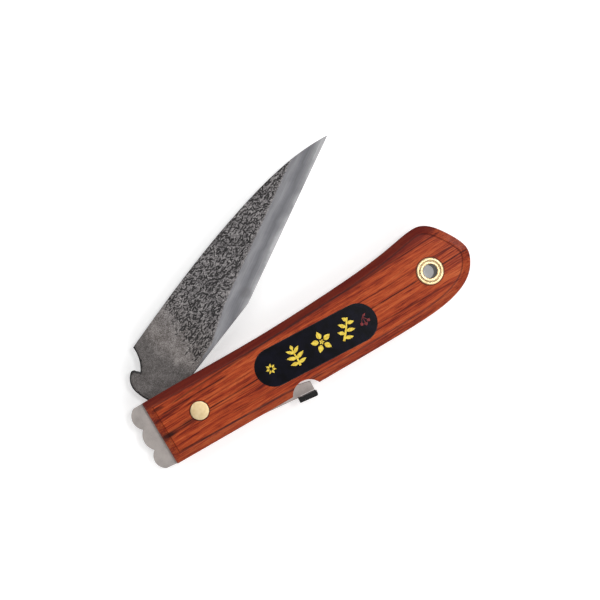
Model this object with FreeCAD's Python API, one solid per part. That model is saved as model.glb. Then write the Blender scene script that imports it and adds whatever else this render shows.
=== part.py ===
"""Folding grafting knife with a wooden handle, a scalloped liner front and a rocker lock lever.

Frame: origin on the pivot axis at the handle's rear outer face, where the knife lies on a table.
+X runs along the handle from the pivot to the butt, +Y points to the side that the blade folds
out of, +Z points out of the front face. Millimetres. The blade is drawn part open.
"""
import FreeCAD
import Part
import math
import os

V = FreeCAD.Vector
UP = V(0, 0, 1)

# ---- stack of plates, from the rear face upwards ----
SCALE_T = 4.6            # wooden scale
LINER_T = 1.2            # steel liner
SLOT_T = 3.0             # slot between the liners
BLADE_T = 2.6
Z_REAR_LINER = SCALE_T
Z_SLOT = Z_REAR_LINER + LINER_T
Z_FRONT_LINER = Z_SLOT + SLOT_T
Z_FRONT_SCALE = Z_FRONT_LINER + LINER_T
HANDLE_T = Z_FRONT_SCALE + SCALE_T
SIDE_GAP = (SLOT_T - BLADE_T) / 2    # free space on each side of the blade and the lever
Z_BLADE = Z_SLOT + SIDE_GAP

# ---- handle outline ----
WOOD_FRONT_TOP = (-15.5, 10.6)
WOOD_FRONT_LOW = (-14.4, -11.75)
NOTCH_CENTRE = (33.35, -12.45)    # thumb notch through every layer
NOTCH_R = 5.4
# from the front end along the blade's side, round the butt and back along the other edge
OUTLINE = [
    WOOD_FRONT_TOP, (4, 11.3), (28, 12.1), (48, 13.6), (64, 15.25), (78, 17.5), (85.5, 19.1),
    (89.6, 19.2), (92.6, 17.7), (96.0, 14.0), (98.9, 9.5), (100.2, 5.4), (99.2, 1.7),
    (96.3, -2.2), (91.5, -5.1), (84.5, -7.1), (76, -8.15), (60, -9.1), (42, -9.85), (24, -10.45),
    (6, -11.05), WOOD_FRONT_LOW,
]
RIM_WIDTH = 2.5          # sloping rim of the wood, across
RIM_DEPTH = 1.5          # and down
RIM_ROUND = 1.5          # rounding of the rim's two borders
REAR_RIM_SCALE = 0.8     # the rear face has the same rim, smaller
BEYOND = 120             # farther from the origin than any piece reaches

# ---- scalloped front of the liners ----
LINER_TOP = 10.45
LINER_LOW = -11.5
SCALLOPS = [             # start cusp, crest, end cusp of each scallop
    ((-19.0, LINER_TOP), (-21.2, 6.7), (-19.4, 3.0)),
    ((-19.4, 3.0), (-20.9, -0.7), (-19.2, -4.5)),
    ((-19.2, -4.5), (-20.8, -8.2), (-18.5, LINER_LOW)),
]

# ---- pivot ----
PIVOT_R = 2.0
PIVOT_HEAD_R = 3.05
PIVOT_HEAD_T = 1.4
RUNNING = 0.05           # radial clearance of a turning fit
WASHER_R = 5.5
WASHER_CLEAR = 0.02      # between a washer and the tang
WASHER_T = SIDE_GAP - WASHER_CLEAR

# ---- eyelet near the butt ----
EYELET = (86.1, 4.8)
EYELET_BORE_R = 2.25
EYELET_BARREL_R = 2.65
EYELET_FLANGE_R = 4.35
EYELET_FLANGE_T = 0.55
EYELET_LIP = 0.35        # rounding of the lip and the rim
EYELET_GROOVE_R = 3.35
EYELET_GROOVE_W = 0.6

# ---- name plate let into the front scale ----
PLATE_LEFT = (27.6, 1.2)
PLATE_RIGHT = (57.9, 1.0)
PLATE_R = 6.35
PLATE_T = 0.5
PLATE_PROUD = 0.1

# ---- blade, in its own directions: u along the spine, v towards the spine from the pivot ----
BLADE_ANGLE = 24.3       # of u from +X in the drawn pose
OPEN_TURN = 142.7        # from the drawn pose to fully open
TANG_R = 9.2
RELIEF_R = 8.3           # shallower tang, where the nose can drop from shut to the drawn pose
RELIEF_FROM = -88
RELIEF_TO = -36
RELIEF_RAMP = 3          # degrees over which the tang rises back to its round
TANG_LOW_ANGLE = 0       # a point on the tang's round, on each side of the relief
TANG_HIGH_ANGLE = 200
SHOULDER_ANGLE = 40      # where the tang's round turns up to the heel, hidden in the handle
HEEL_START = (7.0, 9.0)
HEEL_CORNER = (36.4, 8.85)
EDGE_END = (94.0, 21.6)
BLADE_TIP = (95.6, 21.95)
SPINE = [BLADE_TIP, (88, 24.75), (76, 27.6), (60, 29.5), (40, 30.4), (20, 30.25), (2.5, 29.6)]
HOOK_MIDDLE = (1.1, 26.4)     # of the arc between the spine's end and the hook's corner
HOOK_CORNER = (-2.4, 22.8)
HOOK_BORDER = [          # arcs from the hook's inner corner over its tip to the ear's root
    ((-3.15, 24.4), (-3.5, 25.1), (-4.1, 25.33)),
    ((-4.1, 25.33), (-6.7, 23.8), (-8.3, 20.4)),
    ((-8.3, 20.4), (-8.4, 18.5), (-8.1, 15.6)),
]
EAR_ROOT_ANGLE = 130     # where the ear's edge meets the tang's round
BEVEL_LINE = ((32.0, 14.9), (82.0, 26.3))
RUNOUT_LINE = ((15.0, 8.8), (32.0, 14.9))    # the bevel fades out behind this line
BEVEL_WIDTH = 7.0
GRIND_START = 13.5       # the grinding wheel comes no nearer to the tang
EDGE_T = 0.15

# ---- lock lever ----
LEVER_PIVOT = (18.0, -8.0)
LEVER_PIN_R = 1.25
LEVER_BOSS_R = 2.9
LEVER_ENGAGE = 5         # degrees that the nose can drop into the lock notch
NOSE_R = TANG_R + 0.15
NOSE_FROM = -58
NOSE_TO = -50
NOTCH_ROOM = 0.3         # free space round the nose in the lock notch
NOSE_ROOT_Y = -8.1       # the nose's tail side drops straight to this height
LEVER_NECK = [(12.0, -7.2), (15.4, -5.6)]    # upper edge, from the nose's root to the boss
LEVER_TAIL = [           # from the boss round the thumb plate and back to the nose
    (20.8, -5.8), (32.0, -7.75), (35.6, -8.45), (35.6, -12.3), (29.6, -11.55), (18.0, -10.95),
    (5.6, -10.2), (4.95, -9.6),
]
FLANGE = ((29.6, -11.4), (36.0, -11.95), (36.0, -13.6), (29.6, -13.1))
FLANGE_CORNER = FLANGE[2]
FLANGE_CORNER_R = 0.6
FLANGE_HEIGHT = 6.8      # from the lever's rear face towards the front

# ---- spacer between the liners ----
SPACER_FRONT_X = 30.0
SPACER_STEP_X = 40.5
SPACER_STEP_Y = -4.6
SPACER_TOP_FRONT = 3.45  # the blade's heel stops on it
SPACER_TOP_START = (39.5, 3.75)
SPACER_TOP_END = (97.0, 8.2)
SPACER_RIVETS = [(45.5, -5.6), (66.0, -3.0), (94.5, 2.5)]
SPACER_RIVET_R = 1.0

# ---- leaf spring for the lever ----
SPRING_T = 0.5
SPRING_ROOT = (38.0, -2.4)
SPRING_BEND = (32.0, -2.4)
SPRING_TIP = (23.5, -5.2)    # just clear of the lever when the flange is pressed in
SPRING_WIDTH = 2.4


def point(xy, z=0.0):
    """A 2-D point at a height."""
    return V(xy[0], xy[1], z)


def line(a, b):
    return Part.makeLine(point(a), point(b))


def arc(a, b, c):
    """Arc from a through b to c."""
    return Part.Arc(point(a), point(b), point(c)).toShape()


def spline(points):
    curve = Part.BSplineCurve()
    curve.interpolate([point(p) for p in points])
    return curve.toShape()


def polar(radius, degrees):
    a = math.radians(degrees)
    return (radius * math.cos(a), radius * math.sin(a))


def turned(xy, degrees, centre=(0, 0)):
    a = math.radians(degrees)
    dx = xy[0] - centre[0]
    dy = xy[1] - centre[1]
    x = centre[0] + dx * math.cos(a) - dy * math.sin(a)
    y = centre[1] + dx * math.sin(a) + dy * math.cos(a)
    return (x, y)


def plate(edges, bottom, thickness):
    """Closed outline extruded upwards from a height."""
    face = Part.Face(Part.Wire(Part.__sortEdges__(edges)))
    face.translate(V(0, 0, bottom))
    return face.extrude(V(0, 0, thickness))


def polygon(points, bottom, thickness):
    """Straight-sided outline extruded upwards from a height."""
    edges = [line(points[i - 1], points[i]) for i in range(len(points))]
    return plate(edges, bottom, thickness)


def disc(centre, radius, bottom, thickness):
    return Part.makeCylinder(radius, thickness, point(centre, bottom), UP)


def pivot_hole(radius, bottom, thickness):
    return disc((0, 0), radius, bottom, thickness)


# ---- handle ----

def scale_outline():
    return [
        spline(OUTLINE),
        line(WOOD_FRONT_LOW, WOOD_FRONT_TOP),
    ]


def thumb_notch(bottom, thickness):
    return disc(NOTCH_CENTRE, NOTCH_R, bottom, thickness)


def rim_edges(solid, height):
    """Edges of the outline that lie in the plane at a height."""
    found = []
    for edge in solid.Edges:
        box = edge.BoundBox
        if abs(box.ZMin - height) < 1e-6 and abs(box.ZMax - height) < 1e-6:
            found.append(edge)
    return found


def rimmed(solid, face_height, border_height, size):
    """Sloping rim round a face, with both of its borders rounded."""
    solid = solid.makeChamfer(RIM_DEPTH * size, RIM_WIDTH * size, rim_edges(solid, face_height))
    borders = rim_edges(solid, face_height) + rim_edges(solid, border_height)
    return solid.makeFillet(RIM_ROUND * size, borders)


def name_plate_outline():
    """Stadium through the two cap centres."""
    angle = math.degrees(math.atan2(PLATE_RIGHT[1] - PLATE_LEFT[1], PLATE_RIGHT[0] - PLATE_LEFT[0]))
    out = {}
    for side, centre, sign in (("left", PLATE_LEFT, -1), ("right", PLATE_RIGHT, 1)):
        up = polar(PLATE_R, angle + 90)
        along = polar(PLATE_R * sign, angle)
        out[side] = (
            (centre[0] + up[0], centre[1] + up[1]),
            (centre[0] + along[0], centre[1] + along[1]),
            (centre[0] - up[0], centre[1] - up[1]),
        )
    left = out["left"]
    right = out["right"]
    return [arc(*left), line(left[2], right[2]), arc(*right), line(right[0], left[0])]


def handle_scale_front():
    solid = plate(scale_outline(), Z_FRONT_SCALE, SCALE_T)
    solid = rimmed(solid, HANDLE_T, HANDLE_T - RIM_DEPTH, 1)
    solid = solid.cut(thumb_notch(Z_FRONT_SCALE, SCALE_T))
    solid = solid.cut(pivot_hole(PIVOT_R, Z_FRONT_SCALE, SCALE_T))
    solid = solid.cut(pivot_hole(PIVOT_HEAD_R, HANDLE_T - PIVOT_HEAD_T, PIVOT_HEAD_T))
    solid = solid.cut(disc(EYELET, EYELET_BARREL_R, Z_FRONT_SCALE, SCALE_T))
    pocket = plate(name_plate_outline(), HANDLE_T + PLATE_PROUD - PLATE_T, PLATE_T)
    return solid.cut(pocket)


def handle_scale_rear():
    solid = plate(scale_outline(), 0, SCALE_T)
    solid = rimmed(solid, 0, RIM_DEPTH * REAR_RIM_SCALE, REAR_RIM_SCALE)
    solid = solid.cut(thumb_notch(0, SCALE_T))
    solid = solid.cut(pivot_hole(PIVOT_R, 0, SCALE_T))
    solid = solid.cut(pivot_hole(PIVOT_HEAD_R, 0, PIVOT_HEAD_T))
    solid = solid.cut(disc(EYELET, EYELET_BARREL_R, 0, SCALE_T))
    return solid.cut(disc(EYELET, EYELET_FLANGE_R, 0, EYELET_FLANGE_T))


def liner(bottom):
    """Handle outline with the scalloped front end."""
    edges = [spline(OUTLINE)]
    edges.append(line(WOOD_FRONT_LOW, SCALLOPS[-1][2]))
    edges.extend(arc(*scallop) for scallop in SCALLOPS)
    edges.append(line(SCALLOPS[0][0], WOOD_FRONT_TOP))
    solid = plate(edges, bottom, LINER_T).cut(thumb_notch(bottom, LINER_T))
    solid = solid.cut(pivot_hole(PIVOT_R, bottom, LINER_T))
    solid = solid.cut(disc(EYELET, EYELET_BARREL_R, bottom, LINER_T))
    solid = solid.cut(disc(LEVER_PIVOT, LEVER_PIN_R, bottom, LINER_T))
    for centre in SPACER_RIVETS:
        solid = solid.cut(disc(centre, SPACER_RIVET_R, bottom, LINER_T))
    return solid


def back_spacer():
    """Fills the slot below the folded blade's edge, within the handle outline."""
    block = polygon([
        (SPACER_FRONT_X, SPACER_STEP_Y),
        (SPACER_STEP_X, SPACER_STEP_Y),
        (SPACER_STEP_X, -BEYOND),
        (BEYOND, -BEYOND),
        (BEYOND, SPACER_TOP_END[1]),
        SPACER_TOP_END,
        SPACER_TOP_START,
        (SPACER_FRONT_X, SPACER_TOP_FRONT),
    ], Z_SLOT, SLOT_T)
    solid = block.common(plate(scale_outline(), Z_SLOT, SLOT_T))
    solid = solid.cut(disc(EYELET, EYELET_BARREL_R, Z_SLOT, SLOT_T))
    for centre in SPACER_RIVETS:
        solid = solid.cut(disc(centre, SPACER_RIVET_R, Z_SLOT, SLOT_T))
    return solid.cut(leaf(Z_SLOT, SLOT_T, SPRING_T))


def spacer_rivets():
    """Rivets through both liners and the spacer, hidden under the wood."""
    length = 2 * LINER_T + SLOT_T
    return Part.makeCompound([disc(c, SPACER_RIVET_R, Z_REAR_LINER, length) for c in SPACER_RIVETS])


def pivot_rivet():
    """Shank with a flush head in each scale."""
    shank = pivot_hole(PIVOT_R, 0, HANDLE_T)
    rear_head = pivot_hole(PIVOT_HEAD_R, 0, PIVOT_HEAD_T)
    front_head = pivot_hole(PIVOT_HEAD_R, HANDLE_T - PIVOT_HEAD_T, PIVOT_HEAD_T)
    return shank.fuse([rear_head, front_head]).removeSplitter()


def pivot_washer(bottom):
    return pivot_hole(WASHER_R, bottom, WASHER_T).cut(pivot_hole(PIVOT_R, bottom, WASHER_T))


def eyelet():
    """Turned section: barrel, rolled inner lip, groove and rounded outer rim of the flange."""
    top = HANDLE_T + EYELET_FLANGE_T
    lip_start = (EYELET_BORE_R, top - EYELET_LIP)
    lip_top = (EYELET_BORE_R + EYELET_LIP, top)
    groove_in = (EYELET_GROOVE_R - EYELET_GROOVE_W / 2, top)
    groove_bottom = (EYELET_GROOVE_R, top - EYELET_GROOVE_W / 2)
    groove_out = (EYELET_GROOVE_R + EYELET_GROOVE_W / 2, top)
    rim_start = (EYELET_FLANGE_R - EYELET_LIP, top)
    rim_end = (EYELET_FLANGE_R, top - EYELET_LIP)
    corner = EYELET_LIP * (1 - math.sqrt(0.5))
    lip_middle = (EYELET_BORE_R + corner, top - corner)
    rim_middle = (EYELET_FLANGE_R - corner, top - corner)
    under_flange = (EYELET_FLANGE_R, HANDLE_T)
    neck = (EYELET_BARREL_R, HANDLE_T)
    foot = (EYELET_BARREL_R, 0)
    bore_foot = (EYELET_BORE_R, 0)
    edges = [
        line(bore_foot, lip_start),
        arc(lip_start, lip_middle, lip_top),
        line(lip_top, groove_in),
        arc(groove_in, groove_bottom, groove_out),
        line(groove_out, rim_start),
        arc(rim_start, rim_middle, rim_end),
        line(rim_end, under_flange),
        line(under_flange, neck),
        line(neck, foot),
        line(foot, bore_foot),
    ]
    section = Part.Face(Part.Wire(Part.__sortEdges__(edges)))
    section.rotate(V(0, 0, 0), V(1, 0, 0), 90)
    section.translate(point(EYELET))
    return section.revolve(point(EYELET), UP, 360)


def eyelet_collar():
    """Ring that the rear end of the eyelet is rolled over, let in flush."""
    ring = disc(EYELET, EYELET_FLANGE_R, 0, EYELET_FLANGE_T)
    return ring.cut(disc(EYELET, EYELET_BARREL_R, 0, EYELET_FLANGE_T))


def name_plate():
    return plate(name_plate_outline(), HANDLE_T + PLATE_PROUD - PLATE_T, PLATE_T)


# ---- blade ----

def lock_notch():
    """Room for the lever's nose in the tang, drawn with the blade fully open."""
    nose = [polar(NOSE_R, NOSE_FROM), polar(NOSE_R, NOSE_TO)]
    dropped = [turned(p, -LEVER_ENGAGE, LEVER_PIVOT) for p in nose]
    left = dropped[0][0] - NOTCH_ROOM
    right = dropped[1][0] + NOTCH_ROOM
    top = dropped[1][1] + NOTCH_ROOM
    corners = [(left, top), (right, top), (right, -BEYOND), (left, -BEYOND)]
    box = polygon(corners, Z_BLADE, BLADE_T)
    box.rotate(V(0, 0, 0), UP, -OPEN_TURN - BLADE_ANGLE)
    return box


def blade_outline():
    """Blade, tang round, ear and thumb hook, in the blade's own directions."""
    relief_end = polar(RELIEF_R, RELIEF_TO)
    relief_start = polar(RELIEF_R, RELIEF_FROM)
    relief_middle = polar(RELIEF_R, (RELIEF_FROM + RELIEF_TO) / 2)
    round_start = polar(TANG_R, RELIEF_TO + RELIEF_RAMP)
    round_end = polar(TANG_R, RELIEF_FROM - RELIEF_RAMP)
    shoulder = polar(TANG_R, SHOULDER_ANGLE)
    ear_root = polar(TANG_R, EAR_ROOT_ANGLE)
    edges = [
        line(HEEL_START, HEEL_CORNER),
        line(HEEL_CORNER, EDGE_END),
        line(EDGE_END, BLADE_TIP),
        spline(SPINE),
        arc(SPINE[-1], HOOK_MIDDLE, HOOK_CORNER),
        line(HOOK_CORNER, HOOK_BORDER[0][0]),
    ]
    edges.extend(arc(*piece) for piece in HOOK_BORDER)
    edges.extend([
        line(HOOK_BORDER[-1][2], ear_root),
        arc(ear_root, polar(TANG_R, TANG_HIGH_ANGLE), round_end),
        line(round_end, relief_start),
        arc(relief_start, relief_middle, relief_end),
        line(relief_end, round_start),
        arc(round_start, polar(TANG_R, TANG_LOW_ANGLE), shoulder),
        line(shoulder, HEEL_START),
    ])
    return edges


def half_space(line_points, rise, run):
    """Block above a plane that leaves the top face along a line and drops rise over run."""
    a, b = line_points
    angle = math.degrees(math.atan2(b[1] - a[1], b[0] - a[0]))
    block = Part.makeBox(2 * BEYOND, BEYOND, BEYOND, V(-BEYOND, -BEYOND, 0))
    block.rotate(V(0, 0, 0), V(1, 0, 0), math.degrees(math.atan2(rise, run)))
    block.rotate(V(0, 0, 0), UP, angle)
    block.translate(point(a, Z_BLADE + BLADE_T))
    return block


def blade():
    """Ground on its front face only, with the bevel running out towards the heel."""
    solid = plate(blade_outline(), Z_BLADE, BLADE_T)
    rise = BLADE_T - EDGE_T
    bevel = half_space(BEVEL_LINE, rise, BEVEL_WIDTH).common(
        half_space(RUNOUT_LINE, rise, BEVEL_WIDTH)
    )
    ahead_of_tang = Part.makeBox(BEYOND, BEYOND, BEYOND, V(GRIND_START, 0, 0))
    solid = solid.cut(bevel.common(ahead_of_tang))
    solid = solid.cut(lock_notch())
    solid = solid.cut(pivot_hole(PIVOT_R + RUNNING, Z_BLADE, BLADE_T))
    solid.rotate(V(0, 0, 0), UP, BLADE_ANGLE)
    return solid


# ---- lock lever ----

def thumb_flange():
    """Bent-up edge of the lever, with its outer end rounded."""
    solid = polygon(FLANGE, Z_BLADE, FLANGE_HEIGHT)
    corner = [
        edge for edge in solid.Edges
        if all((v.Point - point(FLANGE_CORNER, v.Z)).Length < 1e-6 for v in edge.Vertexes)
    ]
    return solid.makeFillet(FLANGE_CORNER_R, corner)


def lock_lever():
    """Rocker plate with a nose for the tang and a bent thumb flange in the notch."""
    nose_low = polar(NOSE_R, NOSE_FROM)
    nose_high = polar(NOSE_R, NOSE_TO)
    boss_top = (LEVER_PIVOT[0], LEVER_PIVOT[1] + LEVER_BOSS_R)
    neck = [nose_high, (nose_high[0], NOSE_ROOT_Y)] + LEVER_NECK
    tail = LEVER_TAIL + [nose_low]
    edges = [
        arc(nose_low, polar(NOSE_R, (NOSE_FROM + NOSE_TO) / 2), nose_high),
        arc(neck[-1], boss_top, tail[0]),
    ]
    edges.extend(line(a, b) for a, b in zip(neck, neck[1:]))
    edges.extend(line(a, b) for a, b in zip(tail, tail[1:]))
    solid = plate(edges, Z_BLADE, BLADE_T)
    solid = solid.fuse(thumb_flange()).removeSplitter()
    return solid.cut(disc(LEVER_PIVOT, LEVER_PIN_R + RUNNING, Z_BLADE, BLADE_T))


def lever_pin():
    return disc(LEVER_PIVOT, LEVER_PIN_R, Z_REAR_LINER, 2 * LINER_T + SLOT_T)


def leaf(bottom, height, thickness):
    """Bent strip along the spring's run."""
    half = thickness / 2
    run = [SPRING_ROOT, SPRING_BEND, SPRING_TIP]
    upper = [(p[0], p[1] + half) for p in run]
    lower = [(p[0], p[1] - half) for p in reversed(run)]
    return polygon(upper + lower, bottom, height)


def lever_spring():
    return leaf(Z_SLOT + (SLOT_T - SPRING_WIDTH) / 2, SPRING_WIDTH, SPRING_T)


NODES = {
    "handle_scale_front": handle_scale_front,
    "handle_scale_rear": handle_scale_rear,
    "liner_front": lambda: liner(Z_FRONT_LINER),
    "liner_rear": lambda: liner(Z_REAR_LINER),
    "back_spacer": back_spacer,
    "spacer_rivets": spacer_rivets,
    "pivot_rivet": pivot_rivet,
    "pivot_washer_front": lambda: pivot_washer(Z_FRONT_LINER - WASHER_T),
    "pivot_washer_rear": lambda: pivot_washer(Z_SLOT),
    "eyelet": eyelet,
    "eyelet_collar": eyelet_collar,
    "name_plate": name_plate,
    "blade": blade,
    "lock_lever": lock_lever,
    "lever_pin": lever_pin,
    "lever_spring": lever_spring,
}

os.makedirs("parts", exist_ok=True)
for name, make in NODES.items():
    shape = make()
    shape.exportStep("parts/" + name + ".step")
    print(name, "valid" if shape.isValid() else "INVALID", len(shape.Solids), "solids",
          round(shape.Volume, 1), "mm3")
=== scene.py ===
"""Folding grafting knife: surfaces, floor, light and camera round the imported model.

Lengths in the mesh and material code are millimetres in the row frame. MM turns them into metres.
"""
import bmesh
import bpy
import math
import numpy as np
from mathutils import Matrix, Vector
from mathutils.geometry import delaunay_2d_cdt


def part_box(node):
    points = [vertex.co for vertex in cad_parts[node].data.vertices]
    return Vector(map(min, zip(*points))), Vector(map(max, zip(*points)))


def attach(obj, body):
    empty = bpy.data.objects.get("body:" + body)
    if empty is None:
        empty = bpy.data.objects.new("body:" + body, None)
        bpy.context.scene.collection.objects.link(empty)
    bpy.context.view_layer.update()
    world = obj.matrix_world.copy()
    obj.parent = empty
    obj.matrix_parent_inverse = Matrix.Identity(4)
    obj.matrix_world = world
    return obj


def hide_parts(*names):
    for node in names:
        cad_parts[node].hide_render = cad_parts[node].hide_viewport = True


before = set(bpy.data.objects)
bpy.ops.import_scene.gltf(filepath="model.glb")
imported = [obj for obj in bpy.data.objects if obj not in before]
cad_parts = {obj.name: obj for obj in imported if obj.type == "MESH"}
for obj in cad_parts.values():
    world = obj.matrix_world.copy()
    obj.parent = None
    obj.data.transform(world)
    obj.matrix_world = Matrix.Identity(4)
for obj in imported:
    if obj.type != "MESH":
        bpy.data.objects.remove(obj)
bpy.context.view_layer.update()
MM = 0.001
rng = np.random.default_rng(7)


def corners(node):
    """Lowest and highest corner of a CAD node, in millimetres."""
    return tuple(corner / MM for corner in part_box(node))


# ---- places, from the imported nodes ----
HANDLE_TOP = corners("handle_scale_front")[1].z
BLADE_LOW = corners("blade")[0].z
BLADE_TOP = corners("blade")[1].z
PLATE_MIN, PLATE_MAX = corners("name_plate")
RIVET_MIN, RIVET_MAX = corners("pivot_rivet")
RIVET_CENTRE = (0.0, 0.0)
RIVET_RADIUS = (RIVET_MAX.x - RIVET_MIN.x) / 2
EYELET_MIN, EYELET_MAX = corners("eyelet")
EYELET_CENTRE = ((EYELET_MIN.x + EYELET_MAX.x) / 2, (EYELET_MIN.y + EYELET_MAX.y) / 2)
EYELET_RADIUS = (EYELET_MAX.x - EYELET_MIN.x) / 2
EYELET_BORE = 2.25                  # radius of the hole
EYELET_GROOVE = 3.35                # radius of the groove in the flange

VIEW_CENTRE = (45.0, 16.2)          # under the camera
SHARP_ANGLE = 40                    # degrees: edges that turn more count as sharp

# ---- blade directions: u runs along the spine, v from the pivot towards the spine ----
BLADE_TURN = math.radians(24.3)     # of u from +X
U_X, U_Y = math.cos(BLADE_TURN), math.sin(BLADE_TURN)
EDGE_TURN = math.radians(36.8)      # of the cutting edge from +X
BEVEL_FROM_U = 13.5                 # the tang behind this is never ground
EDGE_HEIGHT = BLADE_LOW + 0.15      # of the cutting edge's upper side
SMUDGE_CENTRE = (30.6, 26.6)        # dark mark on the bevel beside the heel's corner
GROUND_TILT = (0.2, 0.995)          # least and most upward part of a ground plane's direction
HONED_DEPTH = 1.6                   # the rear is honed where the front is ground this deep

# ---- ground strip along the heel, from the tang to where the bevel starts ----
HEEL_START_U = 7.0
HEEL_END_U = 22.0
HEEL_V = 8.97                       # the heel's straight border
HEEL_MARGIN = 0.2                   # the strip reaches this far past that border, and no lower
HEEL_STRIP_WIDTH = 1.2
HEEL_STRIP_U = 17.0                 # where the strip has that width
HEEL_STRIP_TAPER = 0.105
HEEL_STRIP_SLOPE = 0.3

# ---- mesh of the blade ----
OUTLINE_SPACING = 0.3
FINE_GRID = 0.145
FINE_MARGIN = 0.12                  # between the outline and the nearest inner point
FINE_FROM_U = 5                     # behind this the front has the coarse grid
FINE_DEPTH = 0.4                    # and where it is ground deeper than this
COARSE_GRID = 0.8
COARSE_MARGIN = 0.25

# ---- hammered face ----
HAMMERED_FROM_U = 8.5               # the tang's border, at HAMMERED_FROM_V
HAMMERED_FROM_V = 12
HAMMERED_LEAN = 0.5                 # of the border's u for each v
HAMMERED_FADE = 4.5
MARKED_AREA = np.array([(8, 8), (88, 31)])      # lowest and highest u and v of the pits
PIT_PITCH = 0.76
PIT_SHIFT = 0.2                     # most that a pit moves off its grid
PIT_TURN = math.radians(-10)        # of a pit's length from u
PIT_TURN_SPREAD = math.radians(36)
PIT_LENGTHS = (0.42, 0.85)
PIT_WIDTHS = (0.15, 0.27)
PIT_STRENGTHS = (0.15, 1.0)
PIT_REACH = 1.4                     # a pit has no effect further away than this
PIT_FLATNESS = 1.9                  # a higher power gives a flatter floor and steeper sides
PIT_DEPTH = 0.28
BORDER_FADE = 0.3                   # pits are shallower where a ground plane is this close above
BORDER_SHARE = 0.2                  # of their depth that is left there
WAVE_DEPTH = 0.05
EDGE_ROUND = 0.28
EDGE_DROP = 0.15
HOOK_TO_U, HOOK_FROM_V = 3, 12      # the tang's thumb hook, whose edge gets painted shade
HOOK_SHADE_WIDTH = 0.5

# ---- wood figure ----
GRAIN_SLOPE = 0.068                 # of the grain against the handle's x
GRAIN_WARP = 1.5
UPPER_SHADE_Y = 9.3                 # lower border of the darker wood along the upper edge, which also paints shade on the upper rim
UPPER_SHADE_SAG = 0.00085
STREAK_FADE = 3.0                   # length over which a streak's ends fade
RIM_FACING = (0.87, 0.95)           # upward part of the surface's direction on the sloping rim, which gets painted shade
CREASE_FACING = ((0.93, 0.96), (0.985, 0.998))  # the same where the painted shade line in the crease starts and ends
RING_WIDTHS = (0.08, 0.45)          # full and faded widths of the painted shadow ring round brass
# height at x = 0, slope, half width, strength, from x, to x
STREAKS = (
    (-1.1, 0.066, 0.17, 1.0, -16, 102),
    (-1.9, 0.052, 0.16, 0.55, -16, 30),
    (5.2, 0.055, 0.20, 0.85, -13, 14),
    (6.9, 0.085, 0.22, 0.75, -8, 62),
    (-8.5, 0.012, 0.22, 0.85, -13, 42),
    (-6.2, 0.050, 0.14, 0.45, 8, 60),
    (3.0, 0.060, 0.15, 0.50, 52, 100),
    (7.0, 0.080, 0.20, 0.60, 58, 96),
    (-3.6, 0.020, 0.18, 0.60, 58, 92),
    (1.9, 0.070, 0.13, 0.45, -10, 28),
    (-1.3, 0.066, 0.75, 0.55, -16, 4),
    (11.4, 0.135, 0.30, 0.80, 40, 88),
)
# centre, length, width and strength of dark spots in the wood
KNOTS = (
    ((-12.4, -2.4), 2.2, 0.75, 0.9),
    ((-13.2, -2.6), 4.6, 1.5, 0.5),
    ((-11.5, 6.6), 2.6, 0.7, 0.55),
)


# ---- lock lever's thumb flange: reach grows outwards, and noise makes its borders ragged ----
FLANGE_REACH = (10.72, 10.95)       # where the black starts
FLANGE_START_X = (28.9, 29.3)
BEND_REACH = ((10.45, 10.65), (10.7, 10.85))    # where the painted highlight line on the bend starts and ends
BEND_START_X = (30.0, 31.0)


def linear(red, green, blue):
    """Linear colour of an 8-bit display colour."""
    out = []
    for value in (red, green, blue):
        s = value / 255
        out.append(s / 12.92 if s <= 0.04045 else ((s + 0.055) / 1.055) ** 2.4)
    return (*out, 1.0)


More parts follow.
